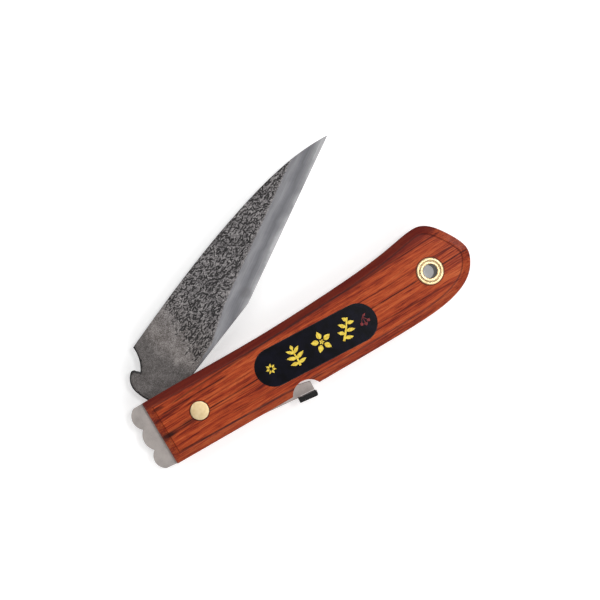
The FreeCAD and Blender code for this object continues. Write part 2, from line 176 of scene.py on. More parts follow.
class Surface:
    """A Principled material, with short calls that build its network."""

    def __init__(self, name, **sockets):
        self.material = bpy.data.materials.new(name)
        self.material.use_nodes = True
        self.tree = self.material.node_tree
        self.shader = self.tree.nodes["Principled BSDF"]
        self.set(**sockets)
        coordinates = self.tree.nodes.new("ShaderNodeTexCoord")
        self.place = self.vector("MULTIPLY", coordinates.outputs["Object"], (1000, 1000, 1000))
        split = self.tree.nodes.new("ShaderNodeSeparateXYZ")
        self.feed(split.inputs[0], self.place)
        self.x, self.y, self.z = split.outputs

    def feed(self, socket, value):
        """Link a socket, or give it a plain value."""
        if isinstance(value, bpy.types.NodeSocket):
            self.tree.links.new(value, socket)
        else:
            socket.default_value = value

    def set(self, **sockets):
        """Feed the shader's sockets, named with _ for each space."""
        for socket, value in sockets.items():
            self.feed(self.shader.inputs[socket.replace("_", " ")], value)
        return self.material

    def vector(self, operation, a, b, output="Vector"):
        node = self.tree.nodes.new("ShaderNodeVectorMath")
        node.operation = operation
        self.feed(node.inputs[0], a)
        self.feed(node.inputs[1], b)
        return node.outputs[output]

    def math(self, operation, a, b=0.0):
        node = self.tree.nodes.new("ShaderNodeMath")
        node.operation = operation
        self.feed(node.inputs[0], a)
        self.feed(node.inputs[1], b)
        return node.outputs[0]

    def weighted(self, *terms):
        """Sum of (value, weight) pairs."""
        total = 0.0
        for value, weight in terms:
            total = self.math("ADD", self.math("MULTIPLY", value, weight), total)
        return total

    def stretched(self, x, y, z, across=None):
        """Place divided by a length along each axis; across stands in for y."""
        node = self.tree.nodes.new("ShaderNodeCombineXYZ")
        parts = ((self.x, x), (self.y if across is None else across, y), (self.z, z))
        for socket, (value, length) in zip(node.inputs, parts):
            self.feed(socket, self.math("DIVIDE", value, length))
        return node.outputs[0]

    def noise(self, vector, detail=2.0, roughness=0.5, shift=0.0):
        node = self.tree.nodes.new("ShaderNodeTexNoise")
        self.feed(node.inputs["Vector"], self.vector("ADD", vector, (shift, shift, shift)))
        node.inputs["Scale"].default_value = 1.0
        node.inputs["Detail"].default_value = detail
        node.inputs["Roughness"].default_value = roughness
        return node.outputs[0]

    def step(self, value, low, high, start=0.0, end=1.0):
        """Smooth step from start at low to end at high."""
        node = self.tree.nodes.new("ShaderNodeMapRange")
        node.interpolation_type = "SMOOTHSTEP"
        for socket, given in zip(node.inputs, (value, low, high, start, end)):
            self.feed(socket, given)
        return node.outputs[0]

    def mix(self, factor, a, b):
        node = self.tree.nodes.new("ShaderNodeMix")
        node.data_type = "RGBA"
        self.feed(node.inputs[0], factor)
        self.feed(node.inputs[6], a)
        self.feed(node.inputs[7], b)
        return node.outputs[2]

    def blend(self, factor, a, b):
        """Number between a and b."""
        return self.math("ADD", self.math("MULTIPLY", factor, b),
                         self.math("MULTIPLY", self.math("SUBTRACT", 1.0, factor), a))

    def ramp(self, factor, *stops):
        node = self.tree.nodes.new("ShaderNodeValToRGB")
        elements = node.color_ramp.elements
        while len(elements) < len(stops):
            elements.new(0.5)
        for element, (position, color) in zip(elements, stops):
            element.position = position
            element.color = color
        self.feed(node.inputs[0], factor)
        return node.outputs[0]

    def facing_up(self):
        """Upward part of the surface's direction."""
        node = self.tree.nodes.new("ShaderNodeNewGeometry")
        split = self.tree.nodes.new("ShaderNodeSeparateXYZ")
        self.feed(split.inputs[0], node.outputs["Normal"])
        return split.outputs["Z"]

    def distance_from(self, centre):
        """Distance from an upright axis."""
        flat = self.vector("MULTIPLY", self.place, (1, 1, 0))
        return self.vector("DISTANCE", flat, (*centre, 0), "Value")

    def attribute(self, name):
        node = self.tree.nodes.new("ShaderNodeAttribute")
        node.attribute_name = name
        return node.outputs["Fac"]

    def bump(self, height, distance, strength):
        """Relief whose full height is distance."""
        node = self.tree.nodes.new("ShaderNodeBump")
        node.inputs["Strength"].default_value = strength
        node.inputs["Distance"].default_value = distance * MM
        self.feed(node.inputs["Height"], height)
        return node.outputs[0]


# ---- materials ----

FLOOR_FADE = (180, 700)             # distance from the view's centre over which the floor's painted glow grows
FLOOR_GLOW = (0.36, 0.8)


def varnished_wood():
    """Red-brown open-grained wood with long dark streaks, under clear varnish."""
    s = Surface("varnished_wood", Roughness=0.5, Specular_IOR_Level=0.12,
                Coat_Weight=0.08, Coat_Roughness=0.12)
    painted_bend_highlight = s.math("SUBTRACT", s.noise(s.stretched(34, 14, 14), detail=2.0), 0.5)
    warped = s.math("ADD", s.y, s.math("MULTIPLY", painted_bend_highlight, GRAIN_WARP))
    grain = s.math("SUBTRACT", warped, s.math("MULTIPLY", s.x, GRAIN_SLOPE))
    broad = s.noise(s.stretched(34, 1.5, 3.0, grain), detail=3.0, roughness=0.6)
    fibre = s.noise(s.stretched(8, 0.32, 0.6, grain), detail=3.0, roughness=0.6, shift=5.0)
    hair = s.noise(s.stretched(3.4, 0.13, 0.3, grain), detail=1.0, shift=31.0)
    cloud = s.noise(s.stretched(24, 6, 6, grain), detail=2.0, shift=11.0)
    tone = s.weighted((broad, 0.34), (fibre, 0.34), (hair, 0.16), (cloud, 0.16))
    color = s.ramp(
        tone,
        (0.40, linear(86, 19, 9)),
        (0.46, linear(140, 47, 20)),
        (0.52, linear(168, 68, 30)),
        (0.62, linear(190, 93, 49)),
    )
    # Painted shade: the dark band along the upper edge is partly darker wood and partly painted shade
    # of the upper rim, which faces away from the light.
    border = s.weighted((s.math("MULTIPLY", s.x, s.x), UPPER_SHADE_SAG), (broad, -2.4))
    above = s.math("SUBTRACT", s.math("SUBTRACT", s.y, UPPER_SHADE_Y), border)
    color = s.mix(s.step(above, -0.6, 1.2, 0.0, 0.82), color, linear(88, 10, 5))
    dark = linear(54, 10, 6)
    for place, slope, half_width, strength, start, end in STREAKS:
        line = s.math("ADD", s.math("MULTIPLY", s.x, slope), place)
        away = s.math("ABSOLUTE", s.math("SUBTRACT", warped, line))
        shade = s.step(away, half_width * 0.3, half_width * 2.0, strength, 0.0)
        broken = s.noise(s.stretched(7, 2, 2), detail=2.0, shift=place)
        shade = s.math("MULTIPLY", shade, s.step(broken, 0.3, 0.5, 0.35, 1.0))
        shade = s.math("MULTIPLY", shade, s.step(s.x, start, start + STREAK_FADE))
        shade = s.math("MULTIPLY", shade, s.step(s.x, end - STREAK_FADE, end, 1.0, 0.0))
        color = s.mix(shade, color, dark)
    pores = s.noise(s.stretched(2.6, 0.12, 0.25, grain), detail=1.0, shift=21.0)
    pores = s.step(pores, 0.58, 0.7)
    color = s.mix(s.math("MULTIPLY", pores, 0.6), color, linear(62, 14, 8))
    for place, length, width, strength in KNOTS:
        along = s.math("DIVIDE", s.math("SUBTRACT", s.x, place[0]), length)
        across = s.math("DIVIDE", s.math("SUBTRACT", warped, place[1]), width)
        away = s.weighted((s.math("MULTIPLY", along, along), 1.0),
                          (s.math("MULTIPLY", across, across), 1.0), (fibre, 1.2))
        color = s.mix(s.step(away, 0.7, 1.7, strength, 0.0), color, linear(46, 14, 7))
    facing = s.facing_up()
    # Painted shade: the sloping rim, found by the way its surface faces, is darkened to stand in for
    # less light falling on it.
    painted_rim_shade = s.step(facing, *RIM_FACING, 0.3, 0.0)
    color = s.mix(painted_rim_shade, color, linear(72, 14, 8))
    # Painted shade: a thin dark line where the flat face turns into the sloping rim.
    crease_start, crease_end = CREASE_FACING
    painted_crease_shade = s.math("MULTIPLY", s.step(facing, *crease_start), s.step(facing, *crease_end, 1.0, 0.0))
    color = s.mix(s.math("MULTIPLY", painted_crease_shade, 0.6), color, linear(52, 10, 8))
    # Painted shadow: a dark ring in the wood round the rivet and the eyelet.
    for centre, radius in ((RIVET_CENTRE, RIVET_RADIUS), (EYELET_CENTRE, EYELET_RADIUS)):
        full, faded = (radius + width for width in RING_WIDTHS)
        ring = s.step(s.distance_from(centre), full, faded, 0.85, 0.0)
        color = s.mix(ring, color, linear(34, 10, 6))
    relief = s.weighted((fibre, 0.5), (pores, -1.0))
    return s.set(Base_Color=color, Normal=s.bump(relief, 0.02, 0.5))


def plain_steel(name, shade, roughness):
    """Surface, colour, roughness and relief of tumbled steel with clouds, specks and scratches."""
    s = Surface(name, Metallic=0.75, Specular_IOR_Level=0.2)
    cloud = s.noise(s.stretched(4, 4, 4), detail=4.0, roughness=0.6)
    speck = s.noise(s.stretched(0.25, 0.25, 0.25), detail=2.0, shift=3.0)
    scratch = s.noise(s.stretched(7, 0.12, 0.12), detail=2.0, shift=9.0)
    tone = s.weighted((cloud, 0.55), (speck, 0.45))
    dim = (*(0.8 * c for c in shade[:3]), 1.0)
    bright = (*(1.14 * c for c in shade[:3]), 1.0)
    color = s.ramp(tone, (0.36, dim), (0.5, shade), (0.66, bright))
    rough = s.step(speck, 0.3, 0.7, roughness - 0.07, roughness + 0.07)
    relief = s.weighted((scratch, 0.6), (speck, 0.5))
    return s, color, rough, s.bump(relief, 0.012, 0.5)


def liner_steel(name, shade, roughness):
    """Tumbled steel as it is."""
    s, color, rough, normal = plain_steel(name, shade, roughness)
    return s.set(Base_Color=color, Roughness=rough, Normal=normal)


def lever_steel():
    """Bare plate whose bent thumb flange is coloured near-black, with a painted highlight line near its
    bend.
    """
    s, color, rough, normal = plain_steel("lever_steel", linear(172, 164, 160), 0.46)
    # The flange is coloured near-black; this noise mottles it, roughens it and makes its borders
    # ragged.
    flange_noise = s.noise(s.stretched(1.2, 1.2, 1.2), detail=4.0, roughness=0.65, shift=2.0)
    black = s.ramp(flange_noise, (0.35, linear(5, 5, 5)), (0.65, linear(17, 16, 15)))
    reach = s.weighted((s.y, -1.0), (s.x, -0.03), (flange_noise, 0.5))
    outside = s.step(reach, *FLANGE_REACH)
    over_plate = s.step(s.z, BLADE_TOP + 0.1, BLADE_TOP + 0.5)
    flange = s.math("MAXIMUM", outside, over_plate)
    flange = s.math("MULTIPLY", flange, s.step(s.x, *FLANGE_START_X))
    # Painted highlight: a bright line along the flange's bend.
    bend_start, bend_end = BEND_REACH
    painted_bend_highlight = s.math("MULTIPLY", s.step(reach, *bend_start), s.step(reach, *bend_end, 1.0, 0.0))
    painted_bend_highlight = s.math("MULTIPLY", painted_bend_highlight, s.step(s.x, *BEND_START_X, 0.0, 0.8))
    color = s.mix(painted_bend_highlight, color, linear(236, 234, 232))
    return s.set(
        Base_Color=s.mix(flange, color, black),
        Metallic=s.blend(flange, 0.75, 0.0),
        Roughness=s.blend(flange, rough, s.step(flange_noise, 0.3, 0.7, 0.36, 0.55)),
        Normal=normal,
    )


def satin_brass(name, eyelet_tone_and_painted_shade=False):
    """Pale brass with faint tarnish and hairline scratches; an eyelet is duller and gets painted shade
    in its groove and bore.
    """
    s = Surface(name, Metallic=0.8)
    cloud = s.noise(s.stretched(1.8, 1.8, 1.8), detail=3.0, roughness=0.6)
    speck = s.noise(s.stretched(0.18, 0.18, 0.18), detail=2.0, shift=4.0)
    scratch = s.noise(s.stretched(0.09, 2.5, 2.5), detail=1.0, shift=7.0)
    color = s.ramp(cloud, (0.3, linear(222, 195, 145)), (0.5, linear(234, 209, 162)),
                   (0.7, linear(240, 219, 178)))
    if eyelet_tone_and_painted_shade:
        away = s.distance_from(EYELET_CENTRE)
        color = s.mix(0.2, color, linear(150, 128, 98))
        # Painted shade: the flange's groove and the bore's wall are darkened.
        from_groove = s.math("ABSOLUTE", s.math("SUBTRACT", away, EYELET_GROOVE))
        color = s.mix(s.step(from_groove, 0.1, 0.42, 0.5, 0.0), color, linear(104, 80, 50))
        painted_bore_shade = s.step(away, EYELET_BORE, EYELET_BORE + 0.12, 0.9, 0.0)
        color = s.mix(painted_bore_shade, color, linear(46, 26, 12))
    rough = s.step(speck, 0.3, 0.7, 0.3, 0.46)
    relief = s.weighted((speck, 0.6), (scratch, 0.5))
    return s.set(Base_Color=color, Roughness=rough, Normal=s.bump(relief, 0.01, 0.4))


def black_lacquer():
    """Deep blue-black lacquer with dust nibs and a slight orange peel."""
    s = Surface("black_lacquer", Roughness=0.16, Specular_IOR_Level=0.3)
    cloud = s.noise(s.stretched(3, 3, 3), detail=3.0)
    nib = s.noise(s.stretched(0.5, 0.5, 0.5), detail=2.0, shift=8.0)
    color = s.ramp(cloud, (0.35, linear(8, 8, 12)), (0.65, linear(15, 15, 26)))
    return s.set(Base_Color=color, Normal=s.bump(nib, 0.006, 0.5))


def thick_paint(name, light, deep):
    """Printed paint, a little uneven."""
    s = Surface(name, Roughness=0.45, Specular_IOR_Level=0.3)
    cloud = s.noise(s.stretched(0.7, 0.7, 0.7), detail=3.0)
    color = s.ramp(cloud, (0.35, deep), (0.6, light))
    return s.set(Base_Color=color, Normal=s.bump(cloud, 0.02, 0.6))


def forge_scale(s, along):
    """Colour, roughness and relief of black scale: dark in the pits, brownish at the tang, with painted
    shade along the thumb hook's edge.
    """
    cloud = s.noise(s.stretched(4, 4, 4), detail=4.0, roughness=0.6)
    blotch = s.noise(s.stretched(1.1, 1.1, 1.1), detail=3.0, roughness=0.6, shift=6.0)
    fine = s.noise(s.stretched(0.32, 0.32, 0.32), detail=2.0, roughness=0.6, shift=16.0)
    tone = s.weighted((cloud, 0.22), (blotch, 0.22), (fine, 0.56))
    color = s.ramp(tone, (0.40, linear(56, 53, 54)), (0.5, linear(108, 104, 105)),
                   (0.60, linear(158, 154, 153)))
    color = s.mix(s.step(along, 8.0, 30.0, 0.3, 0.0), color, linear(108, 97, 86))
    tang = s.math("ADD", along, s.math("MULTIPLY", cloud, 9.0))
    color = s.mix(s.step(tang, 9.5, 14.5, 0.42, 0.0), color, linear(38, 37, 39))
    # Scale stays dark in the pits; the thumb hook's edge gets painted shade.
    color = s.mix(s.step(s.attribute("pit_and_hook_shade"), 0.15, 0.45, 0.0, 0.92), color, linear(16, 14, 15))
    return color, s.step(fine, 0.3, 0.7, 0.44, 0.62), s.weighted((fine, 0.6), (blotch, 0.4))


def ground_steel(s, along, over):
    """Colour, roughness and relief of the bevel: bright edge, dull iron band, fine lines."""
    drawn_out = s.tree.nodes.new("ShaderNodeCombineXYZ")
    s.feed(drawn_out.inputs[0], s.math("DIVIDE", along, 14.0))
    s.feed(drawn_out.inputs[1], s.math("DIVIDE", over, 0.16))
    lines = s.noise(drawn_out.outputs[0], detail=3.0)
    cloud = s.noise(s.stretched(7, 5, 5), detail=4.0)
    rise = s.math("DIVIDE", s.math("SUBTRACT", s.z, EDGE_HEIGHT), BLADE_TOP - EDGE_HEIGHT)
    rise = s.math("ADD", rise, s.weighted((s.math("SUBTRACT", cloud, 0.5), 0.55)))
    color = s.ramp(
        rise,
        (0.02, linear(164, 164, 165)),
        (0.12, linear(134, 134, 136)),
        (0.28, linear(114, 114, 117)),
        (0.46, linear(96, 96, 100)),
        (0.6, linear(106, 106, 110)),
        (0.84, linear(126, 126, 129)),
        (0.98, linear(112, 112, 115)),
    )
    color = s.mix(s.step(lines, 0.35, 0.65, 0.0, 0.3), color, linear(78, 78, 82))
    smudge = s.weighted((s.distance_from(SMUDGE_CENTRE), 1.0), (cloud, 3.0))
    color = s.mix(s.step(smudge, 2.2, 4.4, 0.5, 0.0), color, linear(84, 82, 84))
    return color, s.step(lines, 0.3, 0.7, 0.36, 0.5), lines


def blade_steel():
    """Forge scale on the hammered face and tang, ground steel where the bevel cuts it."""
    s = Surface("blade_steel")
    along = s.weighted((s.x, U_X), (s.y, U_Y))
    edge_x, edge_y = math.cos(EDGE_TURN), math.sin(EDGE_TURN)
    edge_along = s.weighted((s.x, edge_x), (s.y, edge_y))
    edge_over = s.weighted((s.y, edge_x), (s.x, -edge_y))
    scale_color, scale_rough, scale_relief = forge_scale(s, along)
    ground_color, ground_rough, ground_relief = ground_steel(s, edge_along, edge_over)
    ragged = s.noise(s.stretched(0.8, 0.8, 0.8), detail=2.0, shift=41.0)
    ground = s.math("ADD", s.attribute("ground"), s.weighted((s.math("SUBTRACT", ragged, 0.5), 0.3)))
    ground = s.step(ground, -0.01, 0.03)
    relief = s.blend(ground, scale_relief, s.math("MULTIPLY", ground_relief, 0.3))
    return s.set(
        Base_Color=s.mix(ground, scale_color, ground_color),
        Metallic=s.blend(ground, 0.35, 0.6),
        Roughness=s.blend(ground, scale_rough, ground_rough),
        Normal=s.bump(relief, 0.03, 0.6),
    )


def pale_floor():
    """White sweep with a painted glow that grows away from the object until it is evenly bright,
    lifting shadows and lighting the object from below.
    """
    s = Surface("pale_floor", Roughness=0.9, Specular_IOR_Level=0.1)
    cloud = s.noise(s.stretched(60, 60, 60), detail=2.0)
    color = s.ramp(cloud, (0.3, (0.84, 0.84, 0.84, 1.0)), (0.7, (0.87, 0.87, 0.87, 1.0)))
    away = s.vector("DISTANCE", s.place, (*VIEW_CENTRE, 0), "Value")
    # Painted light: the floor glows to lift its shadows and brighten what shows through the eyelet.
    return s.set(Base_Color=color, Emission_Color=(1, 1, 1, 1),
                 Emission_Strength=s.step(away, *FLOOR_FADE, *FLOOR_GLOW))


MATERIALS = {
    "wood": varnished_wood(),
    "liner": liner_steel("liner_steel", linear(168, 161, 157), 0.5),
    "inner": liner_steel("inner_steel", linear(140, 138, 136), 0.42),
    "lever": lever_steel(),
    "brass": satin_brass("satin_brass"),
    "eyelet": satin_brass("eyelet_brass", eyelet_tone_and_painted_shade=True),
    "lacquer": black_lacquer(),
    "gold": thick_paint("gold_paint", linear(232, 208, 76), linear(206, 170, 44)),
    "red": thick_paint("red_paint", linear(120, 22, 28), linear(88, 12, 18)),
    "blade": blade_steel(),
}


# ---- mesh helpers ----

def new_piece(name, vertices, faces, material, sharp_angle=35):
    """Mesh object from millimetre coordinates, smooth but for edges past an angle."""
    mesh = bpy.data.meshes.new(name)
    mesh.from_pydata([Vector(v) * MM for v in vertices], [], faces)
    mesh.materials.append(material)
    work = bmesh.new()
    work.from_mesh(mesh)
    bmesh.ops.remove_doubles(work, verts=work.verts, dist=1e-4 * MM)
    bmesh.ops.recalc_face_normals(work, faces=work.faces)
    limit = math.radians(sharp_angle)
    for face in work.faces:
        face.smooth = True
    for edge in work.edges:
        edge.smooth = len(edge.link_faces) == 2 and edge.calc_face_angle(0) < limit
    work.to_mesh(mesh)
    work.free()
    piece = bpy.data.objects.new(name, mesh)
    bpy.context.scene.collection.objects.link(piece)
    return piece


def plane_loops(node, height):
    """Border loops, longest first, of a node's faces in the plane at a height."""
    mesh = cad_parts[node].data
    welded = {}
    index = []
    for vertex in mesh.vertices:
        index.append(welded.setdefault(tuple(round(c / MM, 3) for c in vertex.co), len(welded)))
    points = list(welded)
    directed = set()
    for polygon in mesh.polygons:
        ring = [index[i] for i in polygon.vertices]
        if all(abs(points[i][2] - height) < 2e-3 for i in ring):
            directed.update(zip(ring, ring[1:] + ring[:1]))
    follows = {a: b for a, b in directed if (b, a) not in directed}
    loops = []
    while follows:
        start, at = follows.popitem()
        loop = [points[start][:2]]
        while at != start:
            loop.append(points[at][:2])
            at = follows.pop(at)
        loops.append(np.array(loop))
    return sorted(loops, key=len, reverse=True)


def resampled(loop, spacing):
    """The same closed loop with extra points on its long sides."""
    out = []
    for a, b in zip(loop, np.roll(loop, -1, axis=0)):
        count = max(1, round(np.linalg.norm(b - a) / spacing))
        out.extend(a + (b - a) * k / count for k in range(count))
    return np.array(out)


def distance_to_loop(points, loop):
    """Distance of each point to the nearest side of a closed loop."""
    best = np.full(len(points), np.inf)
    for a, b in zip(loop, np.roll(loop, -1, axis=0)):
        side = b - a
        t = np.clip(((points - a) @ side) / max(side @ side, 1e-12), 0, 1)
        best = np.minimum(best, np.linalg.norm(points - a - t[:, None] * side, axis=1))
    return best


def inside(points, loop):
    """Which points lie inside a closed loop."""
    found = np.zeros(len(points), bool)
    for a, b in zip(loop, np.roll(loop, -1, axis=0)):
        if a[1] == b[1]:
            continue
        crosses = (a[1] > points[:, 1]) != (b[1] > points[:, 1])
        found ^= crosses & (points[:, 0] < (b[0] - a[0]) * (points[:, 1] - a[1]) / (b[1] - a[1]) + a[0])
    return found


def within(points, loops, margin):
    """The points inside the first loop and outside the others, by at least a margin."""
    keep = inside(points, loops[0])
    points = points[keep]
    keep = distance_to_loop(points, loops[0]) > margin
    for hole in loops[1:]:
        keep &= ~inside(points, hole) & (distance_to_loop(points, hole) > margin)
    return points[keep]


def grid_points(loop, pitch):
    """Slightly uneven grid over a loop's extent."""
    low, high = loop.min(0), loop.max(0)
    xs, ys = np.meshgrid(np.arange(low[0], high[0], pitch), np.arange(low[1], high[1], pitch))
    grid = np.stack([xs.ravel(), ys.ravel()], 1)
    return grid + rng.uniform(-0.25, 0.25, grid.shape) * pitch


def sheet(loops, extra):
    """Triangles that fill the first loop, but not the others, through the extra points."""
    points = [tuple(p) for loop in loops for p in loop]
    sides = []
    start = 0
    for loop in loops:
        sides.extend((start + k, start + (k + 1) % len(loop)) for k in range(len(loop)))
        start += len(loop)
    points.extend(tuple(p) for p in extra)
    made = delaunay_2d_cdt([Vector(p) for p in points], sides, [], 0, 1e-9)
    flat = np.array([tuple(v) for v in made[0]])
    faces = np.array(made[2])
    a, b, c = (flat[faces[:, k]] for k in range(3))
    middles = (a + b + c) / 3
    keep = inside(middles, loops[0])
    for hole in loops[1:]:
        keep &= ~inside(middles, hole)
    turn = (b - a)[:, 0] * (c - a)[:, 1] - (b - a)[:, 1] * (c - a)[:, 0]
    faces[turn < 0] = faces[turn < 0][:, ::-1]
    return flat, faces[keep]


# ---- blade ----

def to_blade(points):
    """Blade directions u and v of row-frame points."""
    u = points[:, 0] * U_X + points[:, 1] * U_Y
    v = points[:, 1] * U_X - points[:, 0] * U_Y
    return u, v


def ground_height(points):
    """Height of the ground planes over each point: the CAD blade's own, and the heel's strip."""
    planes = {}
    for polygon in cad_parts["blade"].data.polygons:
        if GROUND_TILT[0] < polygon.normal.z < GROUND_TILT[1] and polygon.area > MM * MM:
            planes[tuple(round(c, 2) for c in polygon.normal)] = polygon
    height = np.full(len(points), -np.inf)
    for polygon in planes.values():
        centre, normal = polygon.center / MM, polygon.normal
        fall = normal.x * (points[:, 0] - centre.x) + normal.y * (points[:, 1] - centre.y)
        height = np.maximum(height, centre.z - fall / normal.z)
    u, v = to_blade(points)
    height = np.where(u > BEVEL_FROM_U, height, BLADE_TOP + 1)
    width = HEEL_STRIP_WIDTH - HEEL_STRIP_TAPER * (HEEL_STRIP_U - u)
    strip = BLADE_TOP + HEEL_STRIP_SLOPE * (v - HEEL_V - width)
    along_heel = (u > HEEL_START_U) & (u < HEEL_END_U)
    across_heel = (v > HEEL_V - HEEL_MARGIN) & (v < HEEL_V + 2 * HEEL_STRIP_WIDTH)
    return np.where(along_heel & across_heel, np.minimum(height, strip), height)


def hammered_share(u, v):
    """1 on the hammered face, fading out into the smooth tang."""
    wander = 0.7 * np.sin(v * 0.8) + 0.5 * np.sin(v * 1.9 + 2.0)
    ahead = u - HAMMERED_FROM_U - HAMMERED_LEAN * (v - HAMMERED_FROM_V) - wander
    return np.clip(ahead / HAMMERED_FADE, 0, 1)


def hammer_marks(u, v):
    """Depth of the hammered pits over each point, from 0 to 1."""
    depth = np.zeros(len(u))
    order = np.argsort(u)
    sorted_u = u[order]
    for centre_u, centre_v in grid_points(MARKED_AREA, PIT_PITCH):
        centre_u += rng.uniform(-PIT_SHIFT, PIT_SHIFT)
        centre_v += rng.uniform(-PIT_SHIFT, PIT_SHIFT)
        turn = rng.normal(PIT_TURN, PIT_TURN_SPREAD)
        length = rng.uniform(*PIT_LENGTHS)
        width = rng.uniform(*PIT_WIDTHS)
        strength = rng.uniform(*PIT_STRENGTHS)
        first, last = np.searchsorted(sorted_u, (centre_u - PIT_REACH, centre_u + PIT_REACH))
        near = order[first:last]
        near = near[abs(v[near] - centre_v) < PIT_REACH]
        du, dv = u[near] - centre_u, v[near] - centre_v
        a = (du * math.cos(turn) + dv * math.sin(turn)) / length
        b = (dv * math.cos(turn) - du * math.sin(turn)) / width
        depth[near] = np.maximum(depth[near], strength * np.exp(-((a * a + b * b) ** PIT_FLATNESS)))
    return depth


def blade_front(points, outline):
    """Heights of the front face, how deep each point is pitted, with painted shade along the thumb
    hook's edge, and how deep it is ground.
    """
    u, v = to_blade(points)
    plane = ground_height(points)
    share = hammered_share(u, v) * np.clip((plane - BLADE_TOP) / BORDER_FADE, BORDER_SHARE, 1)
    pits = hammer_marks(u, v) * share
    waves = np.sin(u * 1.5 + 2 * np.sin(v * 0.8)) * np.sin(v * 1.2 + 1.5 * np.sin(u * 0.6))
    to_edge = distance_to_loop(points, outline)
    soft = np.clip(1 - to_edge / EDGE_ROUND, 0, 1) ** 2
    forged = BLADE_TOP - PIT_DEPTH * pits - WAVE_DEPTH * (0.5 + 0.5 * waves) * share - EDGE_DROP * soft
    in_hook = (u < HOOK_TO_U) & (v > HOOK_FROM_V)
    # Painted shade: the thumb hook's edge is darkened along with the pits.
    dark = np.maximum(pits, np.clip(1.1 - to_edge / HOOK_SHADE_WIDTH, 0, 1) * in_hook)
    return np.minimum(forged, plane), dark, forged - plane


def finely_marked(points):
    """Which points need the fine grid: those in front of the tang and not deep in the bevel."""
    u, _ = to_blade(points)
    return (u > FINE_FROM_U) & (ground_height(points) > BLADE_TOP - FINE_DEPTH)


def build_blade():
    """Blade whose front is hammered and ground, and whose rear is flat with a honed border."""
    loops = [resampled(loop, OUTLINE_SPACING) for loop in plane_loops("blade", BLADE_LOW)]
    outline = loops[0]
    fine = grid_points(outline, FINE_GRID)
    fine = fine[finely_marked(fine)]
    coarse = grid_points(outline, COARSE_GRID)
    coarse = coarse[~finely_marked(coarse)]
    front, front_faces = sheet(loops, within(np.concatenate([fine, coarse]), loops, FINE_MARGIN))
    rear, rear_faces = sheet(loops, within(grid_points(outline, COARSE_GRID), loops, COARSE_MARGIN))

    height, dark, ground = blade_front(front, outline)
    count = len(front)
    place = {tuple(np.round(p, 4)): i + count for i, p in enumerate(rear)}
    walls = []
    directed = {side for face in front_faces.tolist() for side in zip(face, face[1:] + face[:1])}
    for a, b in directed:
        if (b, a) not in directed:
            low_a, low_b = place[tuple(np.round(front[a], 4))], place[tuple(np.round(front[b], 4))]
            walls.append((b, a, low_a, low_b))
    vertices = [(x, y, z) for (x, y), z in zip(front, height)]
    vertices += [(x, y, BLADE_LOW) for x, y in rear]
    faces = front_faces.tolist() + (rear_faces[:, ::-1] + count).tolist() + walls
    piece = new_piece("forged_blade", vertices, faces, MATERIALS["blade"], SHARP_ANGLE)
    honed = BLADE_TOP - HONED_DEPTH - ground_height(rear)
    values = {
        "pit_and_hook_shade": np.concatenate([dark, np.zeros(len(rear))]),
        "ground": np.concatenate([ground, honed]),
    }
    for name, value in values.items():
        layer = piece.data.attributes.new(name, "FLOAT", "POINT")
        layer.data.foreach_set("value", value.astype(np.float32))
    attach(piece, "blade")
    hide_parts("blade")


# ---- pivot rivet ----

def lathe(name, profile, material, steps=96):
    """Solid of revolution about the pivot axis from a (radius, height) profile, axis to axis."""
    vertices = []
    faces = []
    rows = len(profile)
    for k in range(steps):
        angle = 2 * math.pi * k / steps
        vertices.extend((r * math.cos(angle), r * math.sin(angle), z) for r, z in profile)
        here, there = k * rows, (k + 1) % steps * rows
        faces.extend((here + r, there + r, there + r + 1, here + r + 1) for r in range(rows - 1))
    return new_piece(name, vertices, faces, material, SHARP_ANGLE)


def rivet_head(radius, height, direction):
    """Profile of a slightly domed head from its underside's rim to its centre."""
    thickness, corner, dome = 1.4, 0.14, 0.07
    corner_steps, dome_steps = 4, 10
    profile = [(radius, height - direction * thickness)]
    for k in range(corner_steps + 1):
        a = math.pi / 2 * k / corner_steps
        profile.append((radius - corner + corner * math.cos(a),
                        height - direction * (dome + corner - corner * math.sin(a))))
    for k in range(1, dome_steps + 1):
        r = (radius - corner) * (1 - k / dome_steps)
        rise = dome * (1 - (r / (radius - corner)) ** 2)
        profile.append((r, height - direction * (dome - rise)))
    return profile


def build_rivet():
    """Brass rivet with two domed heads whose rims are rolled over."""
    shank_radius = 2.0
    rear = rivet_head(RIVET_RADIUS, RIVET_MIN.z, -1)
    front = rivet_head(RIVET_RADIUS, RIVET_MAX.z, 1)
    profile = rear[::-1] + [(shank_radius, rear[0][1]), (shank_radius, front[0][1])] + front
    piece = lathe("domed_rivet", profile, MATERIALS["brass"])
    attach(piece, "handle")
    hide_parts("pivot_rivet")


# ---- ornament on the name plate ----

ORNAMENT_SINK = 0.01                # depth of a shape's foot in the plate
ORNAMENT_TOP = 0.92                 # size of a shape's upper rim against its foot
ORNAMENT_CROWN = 1.3                # height of its middle against its rim


def leaf(base, tip, width, steps=9):
    """Outline of a pointed leaf."""
    base, tip = Vector(base), Vector(tip)
    along = tip - base
    side = Vector((-along.y, along.x)).normalized()
    left, right = [], []
    for k in range(steps + 1):
        t = k / steps
        half = width / 2 * math.sin(math.pi * t ** 0.8)
        left.append(base + along * t + side * half)
        right.append(base + along * t - side * half)
    return left + right[-2:0:-1]


def stem(points, width):
    """Outline of a tapering stroke along a few points."""
    points = [Vector(p) for p in points]
    left, right = [], []
    for k, p in enumerate(points):
        ahead = points[min(k + 1, len(points) - 1)] - points[max(k - 1, 0)]
        side = Vector((-ahead.y, ahead.x)).normalized()
        half = width / 2 * (1.0 - 0.45 * k / (len(points) - 1))
        left.append(p + side * half)
        right.append(p - side * half)
    return left + right[::-1]


